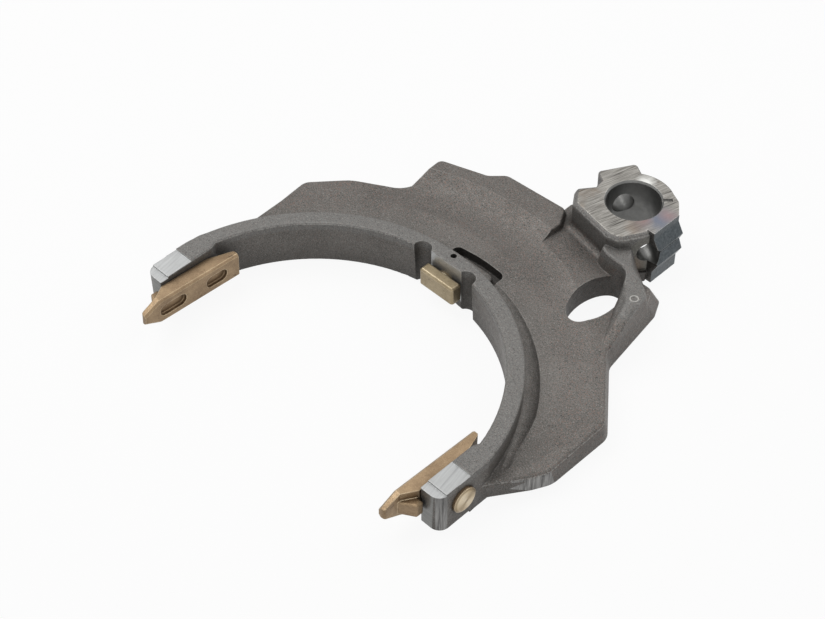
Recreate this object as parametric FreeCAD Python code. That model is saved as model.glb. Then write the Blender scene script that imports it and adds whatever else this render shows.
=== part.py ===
import FreeCAD, Part
import math
import os

V = FreeCAD.Vector
os.makedirs("parts", exist_ok=True)

# All sizes in millimetres. The fork is drawn round the centre of the sleeve it moves: +Y points
# to the rail hub, z = 0 is the underside of band and hub. The finished parts are then moved so
# that the rail bore's axis is the origin.

# rail hub
rail_x = 35.3
rail_y = 159.0
rail_bore_r = 12.0
bore_chamfer = 0.8
low_bore_chamfer = 0.4
hub_r = 18.0
hub_height = 28.5
hub_edge_r = 0.9
foot_r = 3.0
foot_spread = (-24.0, 16.0, -32.0, -12.0)
front_edge_r = 2.6
cross_angle = -30.0
cross_bore_r = 5.0
cross_z = 16.4
cross_boss_reach = 22.0
cross_boss_width = 18.2
spot_face_reach = 19.9
spot_face_r = 10.7
oil_groove_r = 0.9
oil_groove_angle = 45.0

# detent pad on the hub, depths from the hub's top face and rises from the pad's base plane
pad_base = 19.7
pad_near = -9.8
pad_far = 6.4
land_depth = 3.3
first_crest = (8.6, 3.0)
valley = (12.5, 1.4)
second_crest = (17.0, 3.2)
run_out = (22.3, 0.6)

# band that rides in the sleeve's groove
groove_r = 80.0
band_wall = 7.8
band_height = 22.8
band_draft = 1.1
band_round = 1.1

# arms and their machined tips; the flat for the shoe stands inside the groove's radius
arm_step = 3.7
arm_thick = 10.1
arm_flat = groove_r - arm_step
arm_outer = arm_flat + arm_thick
arm_end = -11.1
arm_ramp_y = 17.0
arm_corner_r = 4.8
tip_length = 16.7
tip_top = 22.3
tip_bottom = 1.7
tip_step = 0.8
tip_step_length = 4.0
cut_over = 5.0

# machined seat in the middle of the band
seat_y = groove_r + 0.4
seat_half = 8.9
seat_relief_r = 4.2
seat_relief_bite = 0.3
seat_clear = 20.0

# web
web_bottom = 3.0
web_top = 15.2
web_crown_y = 115.0
web_crown_r = 2200.0
web_edge_r = 2.0
web_lid = web_top + 1.0
cove_r = 5.0
cove_centre_r = groove_r + band_wall + 2.8
cove_floor = 16.2
cove_angle = 12.0
cove_tilt = 3.0
window = (53.6, 114.4, 8.9, 15.4)
window_edge_r = 1.2

# dish that hollows the web, as (x, y, depth under the crown); less than 0 is clear of it
dish_r = 30.0
dish_run = [
    (-72.0, 84.0, -1.0),
    (-54.0, 101.0, 0.9),
    (-29.8, 111.1, 1.3),
    (0.0, 115.0, 1.3),
    (28.0, 111.4, 1.3),
    (52.0, 98.0, 1.3),
    (73.0, 78.0, 1.2),
    (86.5, 58.0, 1.1),
    (88.5, 40.0, 0.9),
    (88.0, 20.0, -1.0),
]

# raised lip, rib and the pocket behind the middle pad
lip_top = 18.0
lip_root = web_top - 2.2
lip_edge_r = 0.8
rib_top = 23.0
rib_root = web_bottom + 4.0
rib_edge_r = 1.2
rib_mark = (70.3, 118.6)
rib_mark_r = 1.7
rib_mark_wall = 0.4
pocket_left = -8.5
pocket_right = 18.6
pocket_far = 97.8
pocket_floor = 10.6
pocket_corner_r = 3.0
pocket_back_r = 60.0
lump_left = -4.0
lump_right = 15.4
lump_far = 94.6
lump_top = 14.2
lump_corner_r = 3.5
lump_edge_r = 1.6

# swivel shoes
shoe_z = 13.15
shoe_height = 12.3
shoe_thick = 7.0
shoe_nose_y = -26.0
shoe_taper_y = -18.0
shoe_full_y = -11.5
shoe_rear_y = 13.0
shoe_tail_y = 24.6
shoe_chamfer = 1.0
nose_height = 4.0
nose_thick = 2.9
taper_thick = 3.3
tail_thick = 3.1
shoe_gap = 0.3
pocket_height = 5.8
pocket_deep = 1.8
pocket_bottom_r = 0.5
front_pocket = (-18.2, -4.2)
rear_pocket = (6.6, 18.0)
pivot_y = 1.4
pivot_z = 12.8
pivot_r = 5.75
pivot_clearance = 0.06
pivot_proud = 2.0
pivot_cone = 0.7
lug_gap = 0.8
lug_root_y = -19.4
lug_outer_y = -15.4
lug_reach = 2.7
lug_low = 8.6
lug_high = 15.4
lug_edge_r = 0.8
lug_sunk = 2.0
left_tilt = 3.3
right_tilt = 2.0

# middle pad and its lock pin
pad_half = 9.7
pad_back = seat_y - 0.7
pad_front = pad_back - 5.7
pad_low = 7.0
pad_high = 16.6
pad_chamfer = 0.9
collar_r = 4.6
shank_r = 3.25
shank_end = seat_y + 6.2
shank_clearance = 0.05
shank_end_gap = 0.2
lock_y = seat_y + 4.5
lock_r = 1.35
lock_clearance = 0.02
lock_low = 6.5
lock_high = 20.0
lock_chamfer = 0.3

far = 400.0


def corner_outline(corners, level):
    # closed outline through (x, y, radius) corners; a radius rounds its corner with an arc
    places = [V(x, y, level) for x, y, radius in corners]
    bends = []
    for i, (x, y, radius) in enumerate(corners):
        here = places[i]
        back = (places[i - 1] - here).normalize()
        ahead = (places[(i + 1) % len(places)] - here).normalize()
        half = back.getAngle(ahead) / 2
        reach = radius / math.tan(half)
        inward = (back + ahead).normalize() * (radius / math.sin(half) - radius)
        bends.append((here + back * reach, here + inward, here + ahead * reach))
    edges = []
    for i, (start, middle, end) in enumerate(bends):
        if corners[i][2] > 0:
            edges.append(Part.Arc(start, middle, end).toShape())
        following = bends[(i + 1) % len(bends)][0]
        if end.distanceToPoint(following) > 1e-6:
            edges.append(Part.makeLine(end, following))
    return Part.Wire(edges)


def prism(corners, low, high):
    return Part.Face(corner_outline(corners, low)).extrude(V(0, 0, high - low))


def drafted(low_corners, high_corners, low, high):
    # cast block whose sides lean from the low outline to the high one
    wires = [corner_outline(low_corners, low), corner_outline(high_corners, high)]
    return Part.makeLoft(wires, True, True)


def turned(sections, angle):
    # ring segment: one half-profile of (radius, z, corner radius) swept about the sleeve's axis
    wire = corner_outline(sections, 0)
    wire.rotate(V(0, 0, 0), V(1, 0, 0), 90)
    return Part.Face(wire).revolve(V(0, 0, 0), V(0, 0, 1), angle)


def rod(radius, start, direction, length):
    return Part.makeCylinder(radius, length, start, direction)


def mirrored(shape):
    return shape.mirror(V(0, 0, 0), V(1, 0, 0))


def soften(shape, radius, wanted):
    # rounds the wanted edges together, or one by one where they can't all be rounded at once
    spots = [edge.CenterOfMass for edge in shape.Edges if wanted(edge)]
    try:
        together = shape.makeFillet(radius, [edge for edge in shape.Edges if wanted(edge)])
        if together.isValid():
            return together
    except Part.OCCError:
        pass
    for spot in spots:
        near = min(shape.Edges, key=lambda edge: edge.CenterOfMass.distanceToPoint(spot))
        try:
            single = shape.makeFillet(radius, [near])
        except Part.OCCError:
            continue
        if single.isValid():
            shape = single
    return shape


def is_level(edge, height):
    box = edge.BoundBox
    return abs(box.ZMin - height) < 0.05 and abs(box.ZMax - height) < 0.05


def is_upright(edge):
    box = edge.BoundBox
    return box.ZLength > 2 and box.XLength < 0.05 and box.YLength < 0.05


def is_web_top(edge):
    box = edge.BoundBox
    return box.ZMin > (web_bottom + web_top) / 2 and box.ZLength < web_edge_r + 1


def is_window_rim(edge):
    box = edge.BoundBox
    inside_x = abs(box.Center.x - window[0]) < 2
    return inside_x and box.XLength > window[2] and box.ZMax > web_bottom + 2


def is_foot(edge):
    # where the hub's front walls and the rib stand on the web
    box = edge.BoundBox
    low = box.ZMin > web_top - 1 and box.ZMax < web_top + 0.2
    left, right, front, back = foot_spread
    across_hub = box.XMin > rail_x + left and box.XMax < rail_x + right
    along_hub = box.YMin > rail_y + front and box.YMax < rail_y + back
    return low and across_hub and along_hub and edge.Length > foot_r / 2


# band: half ring with mould draft on both faces
ring = turned(
    [
        (groove_r + band_draft, 0, band_round),
        (groove_r + band_wall - band_draft, 0, band_round),
        (groove_r + band_wall, band_height, band_round),
        (groove_r, band_height, band_round),
    ],
    180,
)

# arms: straight ends with a flat for the shoe inside and a flat outer face
arm_plan = [
    (arm_flat, arm_end, 0.5),
    (arm_outer, arm_end, arm_corner_r),
    (arm_outer, 15.4, 0),
    (groove_r + 2.6, 27.0, 0),
    (groove_r + 1.6, 27.0, 0),
    (arm_flat, arm_ramp_y, 6.0),
]
arm = prism(arm_plan, 0, band_height)
arm = soften(arm, band_round, lambda edge: is_level(edge, 0) or is_level(edge, band_height))
band = ring.fuse([arm, mirrored(arm)])
inside = Part.makeBox(2 * arm_outer, far, far, V(-arm_outer, -far / 2, -far / 2))
band = band.common(inside)

# web: plate with leaning edges, crowned top and a cove along the band
web_low = [
    (arm_outer, 2.0, 0),
    (arm_outer, 12.2, 9.0),
    (97.4, 28.4, 9.0),
    (101.2, 36.0, 12.0),
    (101.3, 68.4, 8.0),
    (77.4, 96.9, 7.0),
    (71.8, 132.4, 5.0),
    (67.2, 141.4, 3.0),
    (57.0, 141.0, 2.0),
    (40.0, 150.0, 0),
    (20.0, 153.0, 0),
    (7.0, 152.5, 2.5),
    (7.4, 145.0, 1.5),
    (-22.6, 143.0, 6.0),
    (-28.8, 137.2, 5.0),
    (-53.4, 130.2, 5.0),
    (-49.0, 108.6, 12.0),
    (-73.2, 95.4, 22.0),
    (-88.2, 79.6, 6.0),
    (-86.9, 64.0, 16.0),
    (-arm_outer, 40.0, 0),
    (-arm_outer, 2.0, 0),
]
web_high = [
    (arm_outer, 2.0, 0),
    (arm_outer, 12.0, 9.0),
    (96.4, 25.6, 9.0),
    (100.2, 33.0, 12.0),
    (99.9, 66.6, 8.0),
    (75.9, 95.4, 8.0),
    (70.4, 126.6, 5.0),
    (66.0, 134.0, 3.0),
    (56.0, 134.0, 2.0),
    (40.0, 150.0, 0),
    (20.0, 153.0, 0),
    (8.0, 151.4, 2.5),
    (8.3, 144.4, 1.5),
    (-21.8, 142.1, 6.0),
    (-28.2, 136.2, 5.0),
    (-52.4, 129.0, 5.0),
    (-48.0, 107.6, 12.0),
    (-72.8, 94.2, 22.0),
    (-87.2, 79.0, 6.0),
    (-85.7, 64.0, 16.0),
    (-85.2, 40.0, 0),
    (-85.2, 2.0, 0),
]
web = drafted(web_low, web_high, web_bottom, web_lid)
crown = Part.makeSphere(web_crown_r, V(0, web_crown_y, web_top - web_crown_r))
web = web.common(crown)
web = web.cut(rod(groove_r + band_wall / 2, V(0, 0, -far / 2), V(0, 0, 1), far))
web = soften(web, web_edge_r, is_web_top)

cove = Part.makeTorus(cove_centre_r, cove_r, V(0, 0, cove_floor + cove_r))
lean = V(-math.sin(math.radians(cove_angle)), math.cos(math.radians(cove_angle)), 0)
cove.rotate(V(0, 0, cove_floor + cove_r), lean, cove_tilt)
web = web.cut([cove, mirrored(cove)])

# dish: a round tool run along the middle of the crescent, its floor set from the crown
def crown_height(x, y):
    return web_top - (x * x + (y - web_crown_y) ** 2) / (2 * web_crown_r)


dish_points = [V(x, y, crown_height(x, y) - depth + dish_r) for x, y, depth in dish_run]
dish_curve = Part.BSplineCurve()
dish_curve.interpolate(dish_points)
dish_start = Part.Circle(dish_points[0], dish_curve.tangent(0)[0], dish_r)
dish_spine = Part.Wire(dish_curve.toShape())
dish = dish_spine.makePipeShell([Part.Wire(dish_start.toShape())], True, True)

window_x, window_y, window_half, window_reach = window
window_oval = Part.Ellipse(
    V(window_x, window_y + window_reach, 0),
    V(window_x - window_half, window_y, 0),
    V(window_x, window_y, 0),
)
window_hole = Part.Face(Part.Wire(window_oval.toShape())).extrude(V(0, 0, 2 * hub_height))

# pocket behind the middle pad with a lump that backs the pad's shank
pocket_plan = [
    (pocket_left, groove_r, 0),
    (pocket_right, groove_r, 0),
    (pocket_right, pocket_far - 0.8, pocket_corner_r),
    ((pocket_left + pocket_right) / 2, pocket_far, pocket_back_r),
    (pocket_left, pocket_far - 1.6, pocket_corner_r),
]
pocket = prism(pocket_plan, pocket_floor, far / 2)
lump_plan = [
    (lump_left, groove_r + 4, 0),
    (lump_right, groove_r + 4, 0),
    (lump_right, lump_far, lump_corner_r),
    (lump_left, lump_far, lump_corner_r),
]
lump = prism(lump_plan, pocket_floor - 1, lump_top)
lump = soften(lump, lump_edge_r, lambda edge: is_level(edge, lump_top))

# raised lip along the back of the web
lip_high = [
    (-50.2, 127.8, 3.0),
    (-28.0, 135.2, 5.0),
    (-21.8, 141.4, 5.0),
    (10.6, 143.2, 3.0),
    (15.6, 134.8, 3.0),
    (14.4, 118.0, 1.0),
    (-11.6, 118.0, 30.0),
    (-38.0, 112.0, 12.0),
    (-49.0, 108.0, 1.5),
]
lip_low = [
    (-52.2, 129.2, 3.0),
    (-28.2, 136.4, 5.0),
    (-21.9, 142.4, 5.0),
    (11.8, 144.6, 3.0),
    (17.0, 135.4, 3.0),
    (15.8, 116.0, 1.0),
    (-11.6, 116.0, 30.0),
    (-38.0, 110.0, 12.0),
    (-50.0, 106.5, 1.5),
]
lip = drafted(lip_low, lip_high, lip_root, lip_top)
lip = soften(lip, lip_edge_r, lambda edge: is_level(edge, lip_top))
web = web.fuse(lip).cut([dish, pocket])

# rib from the hub's front ledge down to the web's edge
rib_high = [
    (39.5, 138.0, 0),
    (41.0, 132.6, 2.0),
    (45.0, 130.8, 3.0),
    (55.0, 130.2, 3.0),
    (60.4, 123.6, 5.0),
    (69.6, 115.6, 2.5),
    (74.4, 117.8, 2.5),
    (70.6, 125.6, 5.0),
    (56.5, 133.2, 3.0),
    (50.0, 141.0, 0),
]
rib_low = [
    (36.5, 138.0, 0),
    (38.6, 129.4, 2.0),
    (43.6, 127.6, 3.0),
    (53.6, 126.6, 3.0),
    (58.6, 120.4, 5.0),
    (74.0, 84.0, 1.2),
    (77.8, 84.5, 1.2),
    (71.6, 129.0, 5.0),
    (60.0, 139.5, 3.0),
    (50.0, 146.0, 0),
]
rib = drafted(rib_low, rib_high, rib_root, rib_top)
rib = soften(rib, rib_edge_r, lambda edge: is_level(edge, rib_top))
mark_ring = Part.makeTorus(rib_mark_r, rib_mark_wall, V(rib_mark[0], rib_mark[1], rib_top))
rib = rib.fuse(mark_ring)
web = web.cut(window_hole)
web = soften(web, window_edge_r, lambda edge: is_window_rim(edge))
web = web.fuse(rib.cut(window_hole))

# rail hub, drawn round its own bore
front_block = [
    (-2.0, 6.0, 0),
    (-18.1, -3.9, 1.5),
    (-23.1, -10.4, 1.5),
    (-22.3, -13.2, 1.0),
    (-17.6, -19.7, 1.5),
    (5.2, -24.4, 4.0),
    (11.4, -23.2, 4.0),
    (18.3, -11.2, 1.0),
    (14.0, 0.0, 0),
]
body = prism(front_block, 0, hub_height)
body = soften(body, front_edge_r, lambda edge: is_level(edge, hub_height) and edge.BoundBox.YMax < -19)
body = soften(body, hub_edge_r, lambda edge: is_level(edge, 0) or is_level(edge, hub_height))
barrel = rod(hub_r, V(0, 0, 0), V(0, 0, 1), hub_height)
barrel = soften(barrel, hub_edge_r, lambda edge: is_level(edge, 0) or is_level(edge, hub_height))
rear_boss_plan = [
    (0, -cross_boss_width / 2, 0),
    (cross_boss_reach, -cross_boss_width / 2, 2.0),
    (cross_boss_reach, cross_boss_width / 2, 2.0),
    (0, cross_boss_width / 2, 0),
]
rear_boss = prism(rear_boss_plan, 0, hub_height)
rear_boss = soften(rear_boss, hub_edge_r, lambda edge: is_level(edge, 0) or is_level(edge, hub_height))
rear_boss.rotate(V(0, 0, 0), V(0, 0, 1), 180 + cross_angle)

shoulder_plan = [
    (2.0, 2.0, 0),
    (10.0, -4.0, 0),
    (19.2, -4.0, 0),
    (19.2, 6.8, 2.0),
    (14.4, 12.6, 4.0),
    (8.0, 15.6, 0),
]
shoulder = prism(shoulder_plan, 0, hub_height)

pad_profile = [
    (hub_r - 6, hub_height, 0),
    (pad_base, hub_height, 0),
    (pad_base, hub_height - land_depth, 0.8),
    (pad_base + first_crest[1], hub_height - first_crest[0], 0.5),
    (pad_base + valley[1], hub_height - valley[0], 0.8),
    (pad_base + second_crest[1], hub_height - second_crest[0], 0.5),
    (pad_base + run_out[1], hub_height - run_out[0], 0.8),
    (pad_base + run_out[1], 0, 0),
    (hub_r - 6, 0, 0),
]
detent_wire = corner_outline(pad_profile, 0)
detent_wire.rotate(V(0, 0, 0), V(1, 0, 0), 90)
detent_wire.translate(V(0, pad_near, 0))
detent = Part.Face(detent_wire).extrude(V(0, pad_far - pad_near, 0))

across = V(math.cos(math.radians(cross_angle)), math.sin(math.radians(cross_angle)), 0)
spot_face = rod(spot_face_r, V(0, 0, cross_z) + across * spot_face_reach, across, 2 * hub_r)
hub = barrel.fuse([body, rear_boss, shoulder]).cut(spot_face)
hub = hub.fuse(detent).removeSplitter()

# casting: all cast bodies in one, then the machined cuts
to_hub = V(rail_x, rail_y, 0)
hub.translate(to_hub)
web = web.fuse(hub)
web = soften(web, foot_r, is_foot)
casting = band.fuse([web, lump])
casting = casting.removeSplitter()

cross_centre = to_hub + V(0, 0, cross_z)
cross_bore = rod(cross_bore_r, cross_centre - across * 2 * hub_r, across, 4 * hub_r)
rail_bore = rod(rail_bore_r, to_hub - V(0, 0, 1), V(0, 0, 1), hub_height + 2)
bore_rims = []
for rim_z, wide_end, chamfer in ((0, -1, low_bore_chamfer), (hub_height, 1, bore_chamfer)):
    rim = Part.makeCone(
        rail_bore_r + chamfer + 1,
        rail_bore_r,
        chamfer + 1,
        to_hub + V(0, 0, rim_z + wide_end),
        V(0, 0, -wide_end),
    )
    bore_rims.append(rim)
groove_way = V(math.cos(math.radians(oil_groove_angle)), math.sin(math.radians(oil_groove_angle)), 0)
oil_groove = rod(oil_groove_r, to_hub + V(0, 0, hub_height), groove_way, hub_r - 1.4)

tip_cuts = []
for side in (1, -1):
    span = arm_thick + 2 * cut_over
    left = arm_flat - cut_over if side > 0 else -arm_outer - cut_over
    tip_cuts.append(Part.makeBox(span, tip_length, far, V(left, arm_end, tip_top)))
    tip_cuts.append(Part.makeBox(span, tip_step_length, far, V(left, arm_end, tip_top - tip_step)))
    tip_cuts.append(Part.makeBox(span, tip_length, far, V(left, arm_end, tip_bottom - far)))

pivot_bore = rod(pivot_r + pivot_clearance, V(arm_flat - cut_over, pivot_y, pivot_z), V(1, 0, 0), far)
seat_cut = Part.makeBox(2 * seat_half, seat_clear, far, V(-seat_half, seat_y - seat_clear, -far / 2))
relief_x = seat_half + seat_relief_r - seat_relief_bite
relief = rod(seat_relief_r, V(relief_x, groove_r - 1, -far / 2), V(0, 0, 1), far)
shank_z = (pad_low + pad_high) / 2
shank_hole = rod(
    shank_r + shank_clearance,
    V(0, seat_y - cut_over, shank_z),
    V(0, 1, 0),
    shank_end - seat_y + cut_over + shank_end_gap,
)
lock_hole = rod(lock_r + lock_clearance, V(0, lock_y, lock_low), V(0, 0, 1), far)
casting = casting.cut(
    [cross_bore, rail_bore, oil_groove, pivot_bore, mirrored(pivot_bore)]
    + bore_rims
    + tip_cuts
    + [seat_cut, relief, mirrored(relief), shank_hole, lock_hole]
)
casting = casting.removeSplitter()


def swivel_shoe():
    # right shoe: its plan is extruded over the full height, then nose, chamfers and pockets are cut
    face = arm_flat - shoe_gap - shoe_thick
    back = arm_flat - shoe_gap
    low = shoe_z - shoe_height / 2
    high = shoe_z + shoe_height / 2
    plan = [
        (face, shoe_nose_y, 0),
        (face, shoe_tail_y, 0),
        (face + tail_thick, shoe_tail_y, 1.2),
        (back, shoe_rear_y, 3.0),
        (back, shoe_full_y, 1.5),
        (face + taper_thick, shoe_taper_y, 1.5),
        (face + nose_thick, shoe_nose_y, 1.2),
    ]
    shoe = prism(plan, low, high)
    lug_near = arm_end - lug_gap
    lug_plan = [
        (face + lug_sunk, lug_near, 0),
        (back + lug_reach, lug_near, 0.6),
        (back + lug_reach, lug_outer_y, 0.9),
        (face + taper_thick, lug_root_y, 0),
        (face + lug_sunk, lug_root_y, 0),
    ]
    lug = prism(lug_plan, lug_low, lug_high)
    lug = soften(lug, lug_edge_r, lambda edge: is_level(edge, lug_low) or is_level(edge, lug_high))
    shoe = shoe.fuse(lug)
    for level, way in ((high, 1), (low, -1)):
        wedge = Part.makePolygon(
            [
                V(0, shoe_taper_y, level),
                V(0, shoe_nose_y - 1, shoe_z + way * nose_height / 2),
                V(0, shoe_nose_y - 1, level + way * 3),
                V(0, shoe_taper_y, level + way * 3),
                V(0, shoe_taper_y, level),
            ]
        )
        shoe = shoe.cut(Part.Face(wedge).extrude(V(far, 0, 0)))
    shoe = shoe.removeSplitter()

    def on_face_rim(edge):
        box = edge.BoundBox
        on_face = box.XMax < face + 0.01
        return on_face and (edge.CenterOfMass.z > shoe_z + 1 or edge.CenterOfMass.z < shoe_z - 1)

    shoe = shoe.makeChamfer(shoe_chamfer, [edge for edge in shoe.Edges if on_face_rim(edge)])
    for start, end in (front_pocket, rear_pocket):
        half = pocket_height / 2
        stadium = Part.Wire(
            [
                Part.makeLine(V(face, start + half, shoe_z - half), V(face, end - half, shoe_z - half)),
                Part.Arc(
                    V(face, end - half, shoe_z - half), V(face, end, shoe_z), V(face, end - half, shoe_z + half)
                ).toShape(),
                Part.makeLine(V(face, end - half, shoe_z + half), V(face, start + half, shoe_z + half)),
                Part.Arc(
                    V(face, start + half, shoe_z + half), V(face, start, shoe_z), V(face, start + half, shoe_z - half)
                ).toShape(),
            ]
        )
        cutter = Part.Face(stadium).extrude(V(pocket_deep, 0, 0))
        cutter = soften(cutter, pocket_bottom_r, lambda edge: edge.BoundBox.XMin > face + pocket_deep - 0.01)
        shoe = shoe.cut(cutter)
    stem = arm_outer + pivot_proud - back - pivot_cone
    pin = rod(pivot_r, V(back - 1, pivot_y, pivot_z), V(1, 0, 0), stem + 1)
    cap = Part.makeCone(pivot_r, pivot_r - 2 * pivot_cone, pivot_cone, V(back + stem, pivot_y, pivot_z), V(1, 0, 0))
    return shoe.fuse([pin, cap]).removeSplitter()


level_shoe = swivel_shoe()
left_shoe = mirrored(level_shoe)
left_shoe.rotate(V(0, pivot_y, pivot_z), V(1, 0, 0), -left_tilt)
right_shoe = level_shoe.copy()
right_shoe.rotate(V(0, pivot_y, pivot_z), V(1, 0, 0), -right_tilt)

# middle pad: block with a collar against the seat and a shank in the band
block = prism(
    [
        (-pad_half, pad_front, 1.2),
        (pad_half, pad_front, 1.2),
        (pad_half, pad_back, 1.0),
        (-pad_half, pad_back, 1.0),
    ],
    pad_low,
    pad_high,
)
block = block.makeChamfer(
    pad_chamfer,
    [edge for edge in block.Edges if edge.BoundBox.YMax < pad_front + 0.01 and not is_upright(edge)],
)
collar = rod(collar_r, V(0, pad_back - 0.5, shank_z), V(0, 1, 0), seat_y - pad_back + 0.5)
shank = rod(shank_r, V(0, pad_back - 0.5, shank_z), V(0, 1, 0), shank_end - pad_back + 0.5)
middle_pad = block.fuse([collar, shank]).cut(lock_hole).removeSplitter()

lock_pin = rod(lock_r, V(0, lock_y, lock_low), V(0, 0, 1), lock_high - lock_low)
lock_pin = lock_pin.makeChamfer(lock_chamfer, [edge for edge in lock_pin.Edges if edge.Closed])

to_rail = V(-rail_x, -rail_y, 0)
nodes = {
    "fork_casting": casting,
    "left_shoe": left_shoe,
    "right_shoe": right_shoe,
    "middle_pad": middle_pad,
    "lock_pin": lock_pin,
}
for name, shape in nodes.items():
    solid = shape.Solids[0] if len(shape.Solids) == 1 else shape
    solid.translate(to_rail)
    solid.exportStep("parts/" + name + ".step")
    print(name, len(shape.Solids), shape.isValid(), round(shape.Volume, 1), len(shape.Faces))
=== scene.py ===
import math

import bpy
import numpy as np
from mathutils import Euler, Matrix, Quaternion, Vector

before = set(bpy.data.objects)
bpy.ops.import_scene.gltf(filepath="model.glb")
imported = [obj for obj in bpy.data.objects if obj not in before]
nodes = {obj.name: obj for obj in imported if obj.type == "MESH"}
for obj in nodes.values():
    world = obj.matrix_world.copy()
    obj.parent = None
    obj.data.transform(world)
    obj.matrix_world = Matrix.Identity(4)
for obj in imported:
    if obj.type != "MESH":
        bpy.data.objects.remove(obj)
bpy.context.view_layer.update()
print("frame loaded:", ", ".join(sorted(nodes)))

# places of the fork in millimetres, seen from the centre of the sleeve it moves
fork = {
    "rail": (35.3, 159.0),
    "hubTop": 28.5,
    "hubReach": 32.0,
    "boreRadius": 12.0,
    "crossRadius": 5.0,
    "crossAngle": -30.0,
    "crossHeight": 16.4,
    "spotReach": 19.9,
    "spotRadius": 10.7,
    "detentReach": (17.0, 26.0),
    "detentSpan": (-9.7, 6.3),
    "tipInside": 71.0,
    "tipTop": 22.3,
    "tipBottom": 1.7,
    "tipStep": 0.8,
    "tipEnd": -11.1,
    "tipLength": 16.7,
    "cornerInside": 80.0,
    "cornerBack": -6.0,
    "seatY": 80.4,
    "seatHalf": 8.9,
    "pivot": (1.4, 12.8),
    "headFrom": 86.6,
    "groundEdge": (93.0, 14.0, 36.0),
}
railX, railY = fork["rail"]
pivotY, pivotZ = fork["pivot"]
perMetre = 1000.0
sleeveCentre = (-railX / perMetre, -railY / perMetre, 0.0)
pivotCentre = (0.0, (pivotY - railY) / perMetre, pivotZ / perMetre)

# which coordinates count for a distance: all from a point, two from an axis
fromPoint = (1.0, 1.0, 1.0)
fromUprightAxis = (1.0, 1.0, 0.0)
fromCrosswiseAxis = (0.0, 1.0, 1.0)
# the middle stretch of a noise, which seldom leaves it
noiseSpan = (0.3, 0.7)
# rays of the rounded edges and of the shade, and the lean where an edge begins and where it is full
edgeRays = {"samples": 6, "begins": 0.995, "full": 0.86}


def nodeIn(tree, kind, **settings):
    # one shader node with its settings
    made = tree.nodes.new(kind)
    for name, value in settings.items():
        setattr(made, name, value)
    return made


def joined(tree, source, target):
    tree.links.new(source, target)


def fed(tree, value, socket):
    # an input takes another node's output, a colour or a number
    if isinstance(value, bpy.types.NodeSocket):
        joined(tree, value, socket)
    elif isinstance(value, tuple):
        socket.default_value = value + (1.0,)
    else:
        socket.default_value = value


def freshMaterial(name):
    # empty metal shader with its tree, ready for a recipe
    material = bpy.data.materials.new(name)
    material.use_nodes = True
    tree = material.node_tree
    return material, tree, tree.nodes["Principled BSDF"]


def coated(tree, shader, tone, metal, rough, normal):
    # the finish given to the metal shader
    finish = {"Base Color": tone, "Metallic": metal, "Roughness": rough, "Normal": normal}
    for name, value in finish.items():
        fed(tree, value, shader.inputs[name])


def placed(tree, centre=(0.0, 0.0, 0.0), turn=0.0, stretch=(1.0, 1.0, 1.0)):
    # object coordinates seen from a centre, along axes turned about Z, then stretched
    spot = nodeIn(tree, "ShaderNodeTexCoord")
    turned = nodeIn(tree, "ShaderNodeMapping", vector_type="TEXTURE")
    turned.inputs["Location"].default_value = centre
    turned.inputs["Rotation"].default_value = (0.0, 0.0, math.radians(turn))
    joined(tree, spot.outputs["Object"], turned.inputs["Vector"])
    scaled = nodeIn(tree, "ShaderNodeVectorMath", operation="MULTIPLY")
    joined(tree, turned.outputs["Vector"], scaled.inputs[0])
    scaled.inputs[1].default_value = stretch
    return scaled.outputs["Vector"]


def partsOf(tree, vector):
    # the X, Y and Z outputs of a vector
    parts = nodeIn(tree, "ShaderNodeSeparateXYZ")
    joined(tree, vector, parts.inputs[0])
    return parts.outputs


def reachFrom(tree, centre, counted):
    # distance from a point or an axis, in metres
    reach = nodeIn(tree, "ShaderNodeVectorMath", operation="LENGTH")
    joined(tree, placed(tree, centre, 0.0, counted), reach.inputs[0])
    return reach.outputs["Value"]


def noise(tree, where, scale, detail, rough):
    made = nodeIn(tree, "ShaderNodeTexNoise")
    made.inputs["Scale"].default_value = scale
    made.inputs["Detail"].default_value = detail
    made.inputs["Roughness"].default_value = rough
    joined(tree, where, made.inputs["Vector"])
    return made.outputs["Fac"]


def ranged(tree, value, low, high, toLow=0.0, toHigh=1.0):
    # value between low and high becomes a value between toLow and toHigh
    made = nodeIn(tree, "ShaderNodeMapRange", clamp=True)
    limits = {"From Min": low, "From Max": high, "To Min": toLow, "To Max": toHigh}
    for name, amount in limits.items():
        made.inputs[name].default_value = amount
    joined(tree, value, made.inputs["Value"])
    return made.outputs["Result"]


def reckoned(tree, operation, first, second=0.0):
    made = nodeIn(tree, "ShaderNodeMath", operation=operation)
    for value, socket in zip((first, second), made.inputs):
        fed(tree, value, socket)
    return made.outputs["Value"]


def product(tree, *shares):
    # all the shares multiplied
    whole = shares[0]
    for share in shares[1:]:
        whole = reckoned(tree, "MULTIPLY", whole, share)
    return whole


def blended(tree, amount, under, over):
    # colour under covered by colour over; either is a colour or another node's output
    made = nodeIn(tree, "ShaderNodeMix", data_type="RGBA")
    colourSockets = [socket for socket in made.inputs if socket.type == "RGBA"]
    for value, socket in zip((amount, under, over), [made.inputs[0]] + colourSockets):
        fed(tree, value, socket)
    return [output for output in made.outputs if output.type == "RGBA"][0]


def mottled(tree, source, look):
    # dark to light with a noise, calmed by a share of the body colour
    tone = blended(tree, ranged(tree, source, *look["mottle"]), look["dark"], look["light"])
    return blended(tree, look["calm"], tone, look["body"])


def layered(tree, tone, sources, look, layers, *factors):
    # colours over a tone, each by how far its source has come from where it begins to where it is full
    for source, begins, full, share, colour in layers:
        amount = ranged(tree, sources[source], begins, full, 0.0, share)
        tone = blended(tree, product(tree, amount, *factors), tone, look[colour])
    return tone


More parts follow.
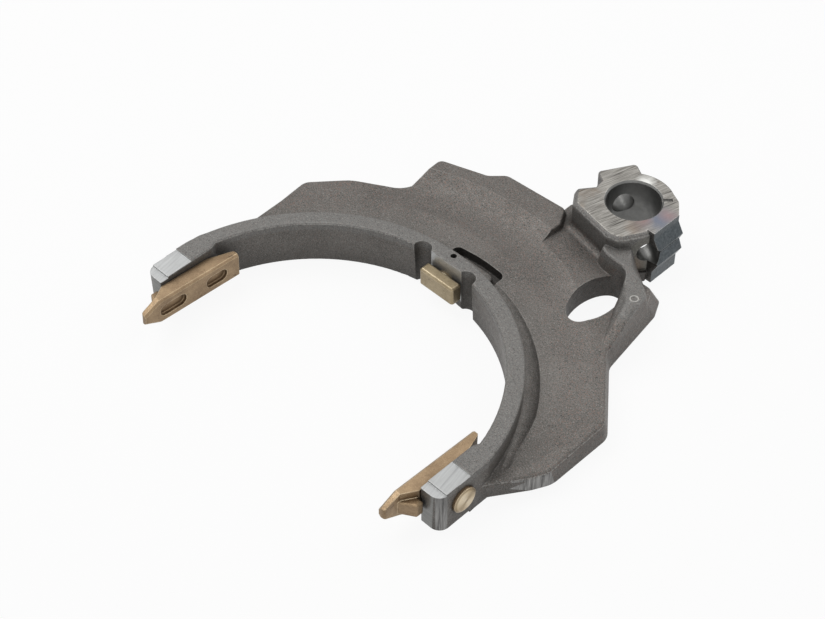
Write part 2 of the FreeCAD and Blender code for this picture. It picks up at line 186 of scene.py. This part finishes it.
def openShare(tree, reach):
    # 1 out in the open, less in corners and hollows within a reach
    shade = nodeIn(tree, "ShaderNodeAmbientOcclusion", samples=edgeRays["samples"])
    shade.inputs["Distance"].default_value = reach
    return shade.outputs["AO"]


def slopeShare(tree, lean, begins, full):
    # 1 where a surface leans by a set share from the level, as a cast edge's round does
    facing = nodeIn(tree, "ShaderNodeNewGeometry")
    level = partsOf(tree, facing.outputs["Normal"])["Z"]
    off = reckoned(tree, "ABSOLUTE", reckoned(tree, "SUBTRACT", level, lean))
    return ranged(tree, off, begins, full)


def edgeShare(tree, radius):
    # 1 on a rounded edge, 0 on the flat: how far the rounded normal leans from the true one
    bevel = nodeIn(tree, "ShaderNodeBevel", samples=edgeRays["samples"])
    bevel.inputs["Radius"].default_value = radius
    truth = nodeIn(tree, "ShaderNodeNewGeometry")
    lean = nodeIn(tree, "ShaderNodeVectorMath", operation="DOT_PRODUCT")
    joined(tree, bevel.outputs["Normal"], lean.inputs[0])
    joined(tree, truth.outputs["Normal"], lean.inputs[1])
    share = ranged(tree, lean.outputs["Value"], edgeRays["begins"], edgeRays["full"])
    return share, bevel.outputs["Normal"]


def bumped(tree, height, depth, strength, normal):
    made = nodeIn(tree, "ShaderNodeBump")
    made.inputs["Distance"].default_value = depth
    made.inputs["Strength"].default_value = strength
    joined(tree, height, made.inputs["Height"])
    joined(tree, normal, made.inputs["Normal"])
    return made.outputs["Normal"]


def seen(red, green, blue):
    # a colour as it is read off a screen, 0 to 255, as the renderer's own linear colour
    share = np.array([red, green, blue]) / 255.0
    curved = ((share + 0.055) / 1.055) ** 2.4
    return tuple(float(value) for value in np.where(share <= 0.04045, share / 12.92, curved))


# shot-blasted grey iron: fine sandy grain, slow cloudy tone, sparkle, rust-pink specks and small pits;
# faces that stand above the web are greyer and lighter, and the web is smoother beside the band.
# A noise has scale, detail and roughness. A layer has its noise, where it begins and where it is full,
# its share and its colour. A span is where a change begins and ends, then its results at both ends.
# Rough holds the roughness at a noise's low and high end, and relief has noise, depth and strength.
castLook = {
    "dark": seen(62, 60, 57),
    "body": seen(99, 96, 92),
    "light": seen(134, 131, 127),
    "high": seen(116, 116, 114),
    "shade": seen(40, 39, 37),
    "spark": seen(186, 184, 179),
    "rust": seen(128, 98, 86),
    "pit": seen(38, 36, 34),
    "edge": seen(160, 158, 154),
    "noises": {
        "grain": (1500.0, 4.0, 0.62),
        "fine": (2300.0, 2.0, 0.5),
        "specks": (1840.0, 1.0, 0.5),
        "coarse": (450.0, 3.0, 0.55),
        "cloud": (30.0, 4.0, 0.6),
    },
    "mottle": noiseSpan,
    "calm": 0.68,
    "highSpan": (0.0186, 0.0200),
    "highShare": 0.7,
    "smoothSpan": (0.1040, 0.0970),
    "busyLeast": 0.45,
    "layers": [
        ("grain", 0.44, 0.30, 0.85, "dark"),
        ("grain", 0.55, 0.70, 0.7, "light"),
        ("fine", 0.46, 0.34, 0.5, "dark"),
        ("fine", 0.56, 0.68, 0.5, "light"),
        ("fine", 0.66, 0.78, 0.5, "spark"),
    ],
    "busyLayers": [
        ("specks", 0.56, 0.68, 0.55, "rust"),
        ("specks", 0.37, 0.29, 0.8, "pit"),
    ],
    "edgeRadius": 0.0009,
    "edgeWearAndHighlight": (0.36, 0.60, 0.2, 0.95),
    "edgeOpen": (0.62, 0.88),
    "crestLean": 0.52,
    "crestSpan": (0.15, 0.06),
    "crestShare": 0.8,
    "crestOpen": (0.70, 0.90),
    "crestHighlightSpeckle": (0.42, 0.58, 0.1, 1.0),
    "shadeReach": 0.022,
    "shadeSpan": (0.82, 0.30, 0.0, 0.68),
    "dent": (0.0350, -0.0404, 0.0230),
    "dentRadius": 0.0017,
    "dentSpan": (0.0005, 0.0, 0.0, 0.9),
    "metal": 0.5,
    "rough": (0.62, 0.48),
    "relief": [("grain", 0.00022, 0.6), ("coarse", 0.0004, 0.4), ("fine", 0.0001, 0.6)],
}


def castMaterial(name, look):
    material, tree, shader = freshMaterial(name)
    where = placed(tree)
    noises = {source: noise(tree, where, *recipe) for source, recipe in look["noises"].items()}
    smooth = ranged(tree, reachFrom(tree, sleeveCentre, fromUprightAxis), *look["smoothSpan"])
    high = ranged(tree, partsOf(tree, where)["Z"], *look["highSpan"])
    calmest = reckoned(tree, "MAXIMUM", smooth, high)
    busy = ranged(tree, calmest, 0.0, 1.0, 1.0, look["busyLeast"])
    tone = mottled(tree, noises["cloud"], look)
    tone = blended(tree, product(tree, high, look["highShare"]), tone, look["high"])
    tone = layered(tree, tone, noises, look, look["layers"])
    tone = layered(tree, tone, noises, look, look["busyLayers"], busy)
    openly = openShare(tree, look["shadeReach"])
    # partly real wear and partly painted highlight: rounded edges lighter in a coarse noise, kept out
    # of the corners
    edge, rounded = edgeShare(tree, look["edgeRadius"])
    edgeWearAndHighlight = ranged(tree, noises["coarse"], *look["edgeWearAndHighlight"])
    edge = product(tree, edge, edgeWearAndHighlight, ranged(tree, openly, *look["edgeOpen"]))
    tone = blended(tree, edge, tone, look["edge"])
    # painted highlight: faces that lean like a cast edge's round are lighter, speckled by the grain,
    # kept out of the corners
    crest = slopeShare(tree, look["crestLean"], *look["crestSpan"])
    crestOpen = ranged(tree, openly, *look["crestOpen"])
    crestHighlightSpeckle = ranged(tree, noises["grain"], *look["crestHighlightSpeckle"])
    crest = product(tree, crest, look["crestShare"], crestOpen, crestHighlightSpeckle)
    tone = blended(tree, crest, tone, look["edge"])
    tone = blended(tree, ranged(tree, openly, *look["shadeSpan"]), tone, look["shade"])
    # the hardness dent on the rib, its rim painted as a bright highlight ring
    fromDent = reachFrom(tree, look["dent"], fromPoint)
    offRim = reckoned(tree, "ABSOLUTE", reckoned(tree, "SUBTRACT", fromDent, look["dentRadius"]))
    tone = blended(tree, ranged(tree, offRim, *look["dentSpan"]), tone, look["spark"])
    rough = ranged(tree, noises["coarse"], *noiseSpan, *look["rough"])
    normal = rounded
    for source, depth, strength in look["relief"]:
        normal = bumped(tree, noises[source], depth, strength, normal)
    coated(tree, shader, tone, look["metal"], rough, normal)
    return material


# what the looks of ground and milled iron share: fine strokes one way, a few deep dark strokes,
# stains, and in some looks spots of heat tint and of painted highlight, each with its centre, reach,
# share and colour
groundLook = {
    "fine": (1.0, 5.0, 0.7),
    "deepNoise": (0.4, 3.0, 0.6),
    "cloud": (90.0, 3.0, 0.6),
    "upright": False,
    "turn": 0.0,
    "mottle": noiseSpan,
    "markSpan": (0.42, 0.30),
    "deep": 0.3,
    "stainSpan": (0.52, 0.74),
    "stainShare": 0.5,
    "heatTintAndHighlightSpots": [],
    "spotBreakup": (0.36, 0.58, 0.35, 1.0),
    "edgeRadius": 0.0004,
    "shine": 0.6,
    "metal": 0.8,
    "rough": (0.48, 0.34),
    "reliefDepth": 0.00008,
}
tipLook = dict(
    groundLook,
    dark=seen(132, 133, 133),
    body=seen(160, 161, 161),
    light=seen(190, 191, 190),
    mark=seen(112, 112, 111),
    stain=seen(146, 146, 144),
    stroke=(1500.0, 60.0),
    turn=100.0,
    calm=0.6,
    relief=0.2,
)
tipEndLook = dict(
    tipLook,
    dark=seen(92, 92, 90),
    body=seen(120, 120, 118),
    light=seen(158, 158, 156),
    turn=0.0,
)
cornerLook = dict(
    tipLook,
    dark=seen(62, 61, 60),
    body=seen(98, 97, 95),
    light=seen(164, 163, 161),
    mark=seen(48, 47, 46),
    stroke=(1300.0, 70.0),
    turn=0.0,
    upright=True,
    calm=0.15,
    deep=0.7,
)
hubTopLook = dict(
    groundLook,
    dark=seen(80, 77, 72),
    body=seen(132, 129, 123),
    light=seen(186, 183, 177),
    mark=seen(50, 47, 43),
    stain=seen(122, 104, 86),
    stroke=(2100.0, 110.0),
    turn=74.0,
    calm=0.15,
    deep=0.85,
    relief=0.45,
    heatTintAndHighlightSpots=[
        ((0.0121, -0.0104, 0.0285), 0.0075, 0.9, seen(116, 92, 72)),
        ((0.0155, -0.0030, 0.0285), 0.0120, 1.2, seen(112, 116, 128)),
        ((0.0165, 0.0030, 0.0285), 0.0055, 0.7, seen(150, 124, 124)),
        ((0.0110, -0.0065, 0.0285), 0.0045, 0.8, seen(150, 118, 112)),
        # a painted highlight on the back of the bore's rim
        ((-0.0040, 0.0128, 0.0285), 0.0050, 1.6, seen(226, 226, 222)),
    ],
)
boreLook = dict(
    groundLook,
    dark=seen(84, 84, 83),
    body=seen(108, 108, 106),
    light=seen(140, 140, 138),
    mark=seen(62, 62, 61),
    stain=seen(92, 90, 87),
    stroke=(120.0, 120.0),
    calm=0.6,
    deep=0.2,
    stainShare=0.3,
    rough=(0.42, 0.28),
    relief=0.08,
    shine=0.12,
)
pinLook = dict(
    boreLook,
    dark=seen(96, 94, 90),
    body=seen(128, 126, 122),
    light=seen(158, 156, 152),
)
detentLook = dict(
    groundLook,
    dark=seen(50, 55, 58),
    body=seen(72, 78, 81),
    light=seen(112, 118, 122),
    mark=seen(50, 52, 55),
    stain=seen(84, 80, 78),
    stroke=(900.0, 900.0),
    calm=0.5,
    stainShare=0.25,
    rough=(0.42, 0.28),
    relief=0.15,
)
spotLook = dict(
    groundLook,
    dark=seen(72, 71, 67),
    body=seen(98, 97, 92),
    light=seen(134, 132, 126),
    mark=seen(60, 55, 48),
    stain=seen(92, 88, 80),
    stroke=(900.0, 900.0),
    calm=0.5,
    stainShare=0.4,
    rough=(0.50, 0.36),
    relief=0.2,
    heatTintAndHighlightSpots=[
        ((0.0190, -0.0185, 0.0100), 0.0090, 0.9, seen(118, 88, 62)),
        ((0.0200, -0.0160, 0.0090), 0.0045, 0.9, seen(150, 128, 102)),
    ],
)


def groundMaterial(name, look):
    # strokes run along the turned X axis, or upright
    material, tree, shader = freshMaterial(name)
    wide, long = look["stroke"]
    stretch = (wide, wide, long) if look["upright"] else (long, wide, wide)
    strokes = placed(tree, (0.0, 0.0, 0.0), look["turn"], stretch)
    noises = {
        "fine": noise(tree, strokes, *look["fine"]),
        "deep": noise(tree, strokes, *look["deepNoise"]),
        "cloud": noise(tree, placed(tree), *look["cloud"]),
    }
    layers = [
        ("deep", *look["markSpan"], look["deep"], "mark"),
        ("cloud", *look["stainSpan"], look["stainShare"], "stain"),
    ]
    tone = mottled(tree, noises["fine"], look)
    tone = layered(tree, tone, noises, look, layers)
    for place, reach, share, colour in look["heatTintAndHighlightSpots"]:
        spotAmount = ranged(tree, reachFrom(tree, place, fromPoint), reach, 0.0, 0.0, share)
        spotAmount = product(tree, spotAmount, ranged(tree, noises["cloud"], *look["spotBreakup"]))
        tone = blended(tree, spotAmount, tone, colour)
    edge, rounded = edgeShare(tree, look["edgeRadius"])
    tone = blended(tree, product(tree, edge, look["shine"]), tone, look["light"])
    rough = ranged(tree, noises["fine"], *noiseSpan, *look["rough"])
    normal = bumped(tree, noises["fine"], look["reliefDepth"], look["relief"], rounded)
    coated(tree, shader, tone, look["metal"], rough, normal)
    return material


# cast bronze of the shoes and brass of the pad: sandy tan, dirt, bright edges of wear and painted
# highlight, painted shade in hollows
bronzeLook = {
    "dark": seen(104, 86, 66),
    "body": seen(146, 123, 96),
    "light": seen(176, 153, 122),
    "wornAndHighlight": seen(218, 198, 166),
    "dirtAndShade": seen(66, 52, 38),
    "noises": {
        "grain": (1700.0, 4.0, 0.6),
        "cloud": (120.0, 4.0, 0.6),
        "dirt": (420.0, 2.0, 0.5),
    },
    "mottle": (0.34, 0.66),
    "calm": 0.6,
    "layers": [
        ("grain", 0.42, 0.30, 0.6, "dark"),
        ("grain", 0.58, 0.70, 0.6, "light"),
        ("dirt", 0.66, 0.76, 0.6, "dirtAndShade"),
    ],
    "shadeReach": 0.004,
    "shadeSpan": (0.85, 0.35, 0.0, 0.75),
    "edgeRadius": 0.0007,
    "edgeWearAndHighlight": (0.35, 0.6, 0.45, 0.95),
    "metal": 0.75,
    "rough": (0.52, 0.34),
    "relief": (0.0002, 0.4),
}
brassLook = dict(
    bronzeLook,
    dark=seen(116, 102, 78),
    body=seen(152, 137, 110),
    light=seen(184, 169, 140),
    wornAndHighlight=seen(222, 208, 180),
    dirtAndShade=seen(82, 68, 48),
    rough=(0.46, 0.28),
)


def bronzeMaterial(name, look):
    material, tree, shader = freshMaterial(name)
    where = placed(tree)
    noises = {source: noise(tree, where, *recipe) for source, recipe in look["noises"].items()}
    tone = mottled(tree, noises["cloud"], look)
    tone = layered(tree, tone, noises, look, look["layers"])
    # painted shade: hollows within a few millimetres darker, in the colour that the dirt shares
    openly = openShare(tree, look["shadeReach"])
    tone = blended(tree, ranged(tree, openly, *look["shadeSpan"]), tone, look["dirtAndShade"])
    # partly wear and partly painted highlight: rounded edges lighter in a cloudy noise
    edge, rounded = edgeShare(tree, look["edgeRadius"])
    edge = product(tree, edge, ranged(tree, noises["cloud"], *look["edgeWearAndHighlight"]))
    tone = blended(tree, edge, tone, look["wornAndHighlight"])
    rough = ranged(tree, noises["grain"], *noiseSpan, *look["rough"])
    normal = bumped(tree, noises["grain"], *look["relief"], rounded)
    coated(tree, shader, tone, look["metal"], rough, normal)
    return material


# turned ends of the pivot pins: lathe rings as a wave on the distance from the pin's axis, the fan
# of light that rings throw as a painted highlight and painted shade, a dark ring at the rim and a dark
# dot in the middle
headLook = {
    "dark": seen(112, 94, 68),
    "body": seen(172, 153, 122),
    "light": seen(196, 179, 150),
    "wornAndHighlight": seen(232, 218, 192),
    "ring": seen(120, 102, 76),
    "grain": (1500.0, 3.0, 0.6),
    "ripple": 16000.0,
    "fanTurn": 0.9,
    "fanBlades": 2.0,
    "layers": [
        # painted highlight and painted shade: the two sides of the fan of light
        ("fan", -0.6, 0.9, 0.7, "wornAndHighlight"),
        ("fan", -0.5, -1.0, 0.6, "dark"),
        ("ripple", -1.0, 1.0, 0.35, "light"),
        ("grain", 0.55, 0.72, 0.4, "light"),
        ("distance", 0.0048, 0.0051, 0.6, "ring"),
        ("distance", 0.0012, 0.0003, 0.7, "dark"),
    ],
    "edgeRadius": 0.0004,
    "shine": 0.8,
    "metal": 0.8,
    "rough": 0.36,
    "relief": (0.00004, 0.5),
}


def turnedHeadMaterial(name, look, centre):
    material, tree, shader = freshMaterial(name)
    distance = reachFrom(tree, centre, fromCrosswiseAxis)
    parts = partsOf(tree, placed(tree, centre))
    angle = reckoned(tree, "ARCTAN2", parts["Z"], parts["Y"])
    bladeAngle = product(tree, reckoned(tree, "ADD", angle, look["fanTurn"]), look["fanBlades"])
    sources = {
        "distance": distance,
        "ripple": reckoned(tree, "SINE", product(tree, distance, look["ripple"])),
        "grain": noise(tree, placed(tree), *look["grain"]),
        "fan": reckoned(tree, "COSINE", bladeAngle),
    }
    tone = layered(tree, look["body"], sources, look, look["layers"])
    # painted highlight: rounded edges lighter
    edge, rounded = edgeShare(tree, look["edgeRadius"])
    tone = blended(tree, product(tree, edge, look["shine"]), tone, look["wornAndHighlight"])
    normal = bumped(tree, sources["ripple"], *look["relief"], rounded)
    coated(tree, shader, tone, look["metal"], look["rough"], normal)
    return material


def trianglesOf(node):
    # centre (mm, sleeve frame) and normal of each triangle of a node
    mesh = nodes[node].data
    count = len(mesh.polygons)
    centres = np.empty(count * 3)
    normals = np.empty(count * 3)
    mesh.polygons.foreach_get("center", centres)
    mesh.polygons.foreach_get("normal", normals)
    centres = centres.reshape(-1, 3) * perMetre + np.array([railX, railY, 0.0])
    return centres, normals.reshape(-1, 3)


def finished(node, materials, which=0):
    # materials in slots, and the slot that each triangle takes
    mesh = nodes[node].data
    mesh.materials.clear()
    for material in materials:
        mesh.materials.append(material)
    slots = np.full(len(mesh.polygons), which, np.int32)
    mesh.polygons.foreach_set("material_index", slots)
    mesh.update()
    print("finished", node, "with", len(materials), "finishes on", len(slots), "triangles")


# finishes of the casting, in the order of their slots
finishes = {
    "cast": castMaterial("cast_iron", castLook),
    "tips": groundMaterial("ground_iron", tipLook),
    "hub": groundMaterial("milled_iron", hubTopLook),
    "bores": groundMaterial("bored_iron", boreLook),
    "detent": groundMaterial("hardened_iron", detentLook),
    "spotFace": groundMaterial("spot_faced_iron", spotLook),
    "tipEnds": groundMaterial("end_ground_iron", tipEndLook),
    "corners": groundMaterial("corner_ground_iron", cornerLook),
}
slotOf = {name: number for number, name in enumerate(finishes)}

# limits of the zones: boreBeyond in millimetres, near in millimetres and as a part of a unit normal,
# the rest as parts of a unit normal
near = 0.1
squarely = 0.95
zones = {
    "level": 0.5,
    "cornerFrom": -0.93,
    "cornerTo": -0.12,
    "edgeOutward": 0.2,
    "boreBeyond": 0.9,
    "boreOutward": -0.2,
}
centre, facing = trianglesOf("fork_casting")
x, y, z = centre.T
faceX, faceY, faceZ = facing.T
lookUp = faceZ > squarely
lookDown = faceZ < -squarely
lookFront = faceY < -squarely
sideways = np.abs(faceZ) < zones["level"]
slot = np.full(len(x), slotOf["cast"])

onTips = (np.abs(x) > fork["tipInside"]) & (y < fork["tipEnd"] + fork["tipLength"] + near)
stepTop = fork["tipTop"] - fork["tipStep"]
tipLevels = (z > stepTop - near) | (z < fork["tipBottom"] + near)
slot[onTips & (lookUp | lookDown) & tipLevels] = slotOf["tips"]
slot[onTips & lookFront & (y < fork["tipEnd"] + near)] = slotOf["tipEnds"]
slot[onTips & lookFront & (z > stepTop)] = slotOf["tips"]
roundCorner = (np.abs(x) > fork["cornerInside"]) & (y < fork["cornerBack"])
roundCorner &= (faceY > zones["cornerFrom"]) & (faceY < zones["cornerTo"])
slot[sideways & onTips & roundCorner] = slotOf["corners"]
edgeInside, edgeFront, edgeBack = fork["groundEdge"]
groundEdge = (x > edgeInside) & (y > edgeFront) & (y < edgeBack)
slot[sideways & groundEdge & (faceX > zones["edgeOutward"])] = slotOf["corners"]
onSeat = (np.abs(x) < fork["seatHalf"] + near) & (np.abs(y - fork["seatY"]) < near)
slot[onSeat & lookFront] = slotOf["tips"]

fromRail = np.hypot(x - railX, y - railY)
outward = ((x - railX) * faceX + (y - railY) * faceY) / np.maximum(fromRail, near)
onHub = fromRail < fork["hubReach"]
slot[onHub & lookUp & (z > fork["hubTop"] - near)] = slotOf["hub"]
slot[onHub & lookDown & (z < near)] = slotOf["hub"]
inBore = fromRail < fork["boreRadius"] + zones["boreBeyond"]
slot[inBore & (outward < zones["boreOutward"])] = slotOf["bores"]

crossTurn = math.radians(fork["crossAngle"])
crossX, crossY = math.cos(crossTurn), math.sin(crossTurn)
alongCross = (x - railX) * crossX + (y - railY) * crossY
offCross = np.hypot((y - railY) * crossX - (x - railX) * crossY, z - fork["crossHeight"])
facingCross = faceX * crossX + faceY * crossY
inCross = (offCross < fork["crossRadius"] + near) & (fromRail > fork["boreRadius"])
slot[inCross] = slotOf["bores"]

detentNear, detentFar = fork["detentReach"]
detentFront, detentBack = fork["detentSpan"]
onDetent = (x > railX + detentNear) & (fromRail > detentNear) & (fromRail < detentFar)
onDetent &= (y - railY > detentFront) & (y - railY < detentBack)
slot[onDetent & (np.abs(faceY) < near) & (faceX > near)] = slotOf["detent"]
onSpot = (alongCross > fork["spotReach"] - near) & (offCross < fork["spotRadius"] + near)
slot[onSpot & (facingCross > squarely)] = slotOf["spotFace"]
finished("fork_casting", list(finishes.values()), slot)

shoeBronze = bronzeMaterial("shoe_bronze", bronzeLook)
turnedBronze = turnedHeadMaterial("turned_bronze", headLook, pivotCentre)
for shoe in ("left_shoe", "right_shoe"):
    centre, facing = trianglesOf(shoe)
    onHead = np.abs(centre[:, 0]) > fork["headFrom"]
    finished(shoe, [shoeBronze, turnedBronze], onHead)

finished("middle_pad", [bronzeMaterial("pad_brass", brassLook)])
finished("lock_pin", [groundMaterial("pin_steel", pinLook)])

# pale floor and backdrop: white to the camera and to reflections, with the object's own soft shadow
stand = {
    "floorDrop": 0.0003,
    "floorSize": 12.0,
    "floorColour": (0.86, 0.86, 0.86),
    "whiteShare": 0.92,
    "skyStrength": 0.27,
}


def whiteShare(tree):
    # 1 for rays from the camera, from gloss and through glass, else 0
    path = nodeIn(tree, "ShaderNodeLightPath")
    share = reckoned(tree, "MAXIMUM", path.outputs["Is Camera Ray"], path.outputs["Is Glossy Ray"])
    return reckoned(tree, "MAXIMUM", share, path.outputs["Is Transmission Ray"])


bpy.ops.mesh.primitive_plane_add(size=stand["floorSize"], location=(0.0, 0.0, -stand["floorDrop"]))
floor = bpy.context.object
floor.name = "floor"
floorMaterial = bpy.data.materials.new("floor")
floorMaterial.use_nodes = True
floorTree = floorMaterial.node_tree
floorTree.nodes.clear()
paint = nodeIn(floorTree, "ShaderNodeBsdfDiffuse")
fed(floorTree, stand["floorColour"], paint.inputs["Color"])
glow = nodeIn(floorTree, "ShaderNodeEmission")
fed(floorTree, 1.0, glow.inputs["Strength"])
mixed = nodeIn(floorTree, "ShaderNodeMixShader")
floorShare = product(floorTree, whiteShare(floorTree), stand["whiteShare"])
joined(floorTree, floorShare, mixed.inputs[0])
joined(floorTree, paint.outputs[0], mixed.inputs[1])
joined(floorTree, glow.outputs[0], mixed.inputs[2])
floorEnd = nodeIn(floorTree, "ShaderNodeOutputMaterial")
joined(floorTree, mixed.outputs[0], floorEnd.inputs["Surface"])
floor.data.materials.append(floorMaterial)

scene = bpy.context.scene
world = bpy.data.worlds.new("studio")
scene.world = world
world.use_nodes = True
worldTree = world.node_tree
sky = worldTree.nodes["Background"]
fed(worldTree, (1.0, 1.0, 1.0), sky.inputs["Color"])
skyStrength = ranged(worldTree, whiteShare(worldTree), 0.0, 1.0, stand["skyStrength"], 1.0)
joined(worldTree, skyStrength, sky.inputs["Strength"])

lamps = {
    "key": {"place": (-0.55, -0.20, 0.95), "size": 0.9, "power": 5.8},
    "back": {"place": (0.15, 0.75, 0.80), "size": 0.8, "power": 3.4},
    "fill": {"place": (0.75, -0.70, 0.55), "size": 0.9, "power": 1.2},
}
lampAim = Vector((-0.03, -0.09, 0.01))
for name, lamp in lamps.items():
    light = bpy.data.lights.new(name, "AREA")
    light.shape = "DISK"
    light.size = lamp["size"]
    light.energy = lamp["power"]
    holder = bpy.data.objects.new(name, light)
    scene.collection.objects.link(holder)
    holder.location = lamp["place"]
    holder.rotation_mode = "QUATERNION"
    holder.rotation_quaternion = (lampAim - holder.location).to_track_quat("-Z", "Y")
print("stage and", len(lamps), "lamps set")

# the photograph's viewpoint: above the right arm, a long lens
viewpoint = {
    "place": (0.3420, -0.4652, 0.5605),
    "azimuth": -44.17,
    "elevation": 46.38,
    "roll": -0.86,
    "lens": 79.44,
    "sensor": 36.0,
    "clipStart": 0.01,
}
tilt = math.radians(90.0 - viewpoint["elevation"])
heading = math.radians(90.0 + viewpoint["azimuth"])
roll = Quaternion((0.0, 0.0, 1.0), math.radians(viewpoint["roll"]))
eye = bpy.data.cameras.new("camera")
eye.lens = viewpoint["lens"]
eye.sensor_width = viewpoint["sensor"]
eye.clip_start = viewpoint["clipStart"]
camera = bpy.data.objects.new("camera", eye)
scene.collection.objects.link(camera)
camera.location = viewpoint["place"]
camera.rotation_mode = "QUATERNION"
camera.rotation_quaternion = Euler((tilt, 0.0, heading)).to_quaternion() @ roll
scene.camera = camera
scene.view_settings.view_transform = "Standard"
